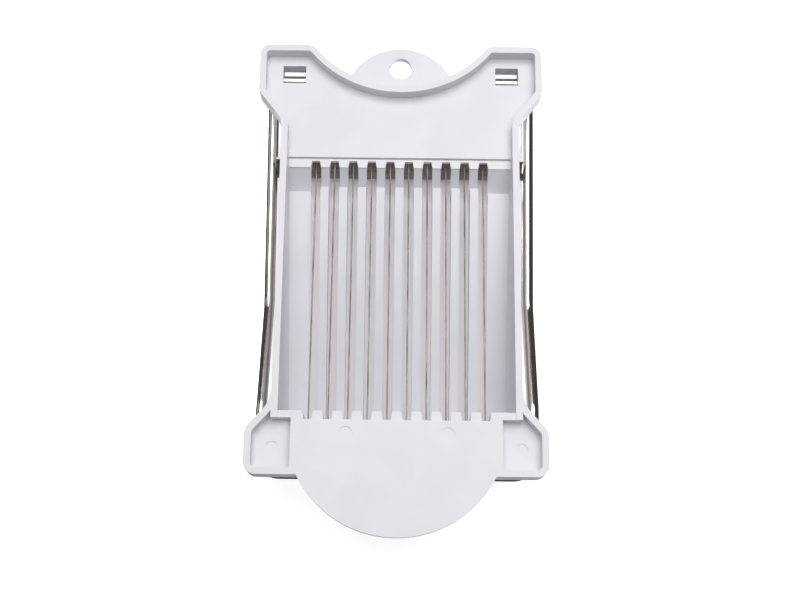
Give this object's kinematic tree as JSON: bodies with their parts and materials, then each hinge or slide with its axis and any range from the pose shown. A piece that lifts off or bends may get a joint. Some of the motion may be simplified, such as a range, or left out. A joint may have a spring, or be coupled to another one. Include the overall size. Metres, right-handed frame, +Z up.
{
  "type": "egg slicer",
  "caption": "Tabletop egg and luncheon-meat slicer: a slotted, inclined white plastic cradle with a hinged steel rod frame of parallel cutting wires.",
  "frame": {"origin": "middle of the footprint, on the plane that the rim stands on", "axes": "+Z up, +Y along the slicer to the hinge, -Y to the thumb tab, +X across it"},
  "size_m": [0.1224, 0.2136, 0.042],
  "materials": {
    "white_abs": "satin moulded ABS",
    "polished_steel": "polished stainless rod",
    "plate_steel": "rolled stainless strip",
    "wire_steel": "drawn stainless wire",
    "stop_steel": "crimped steel",
    "weld_steel": "weld bead"
  },
  "bodies": {
    "base": {"base_moulding": "white_abs"},
    "cutter_frame": {"frame_rod": "polished_steel", "rear_wire_plate": "plate_steel", "front_wire_plate": "plate_steel", "wire_01": "wire_steel", "wire_02": "wire_steel", "wire_03": "wire_steel", "wire_04": "wire_steel", "wire_05": "wire_steel", "wire_06": "wire_steel", "wire_07": "wire_steel", "wire_08": "wire_steel", "wire_09": "wire_steel", "wire_10": "wire_steel", "rear_wire_stops": "stop_steel", "front_wire_stops": "stop_steel", "weld_beads": "weld_steel"}
  },
  "joints": [
    {"name": "frame_hinge", "type": "hinge", "parent": "base", "child": "cutter_frame", "pos_m": [0, 0.0931, 0.0115], "axis": [-1, 0, 0], "range_deg": [0, 165]}
  ]
}
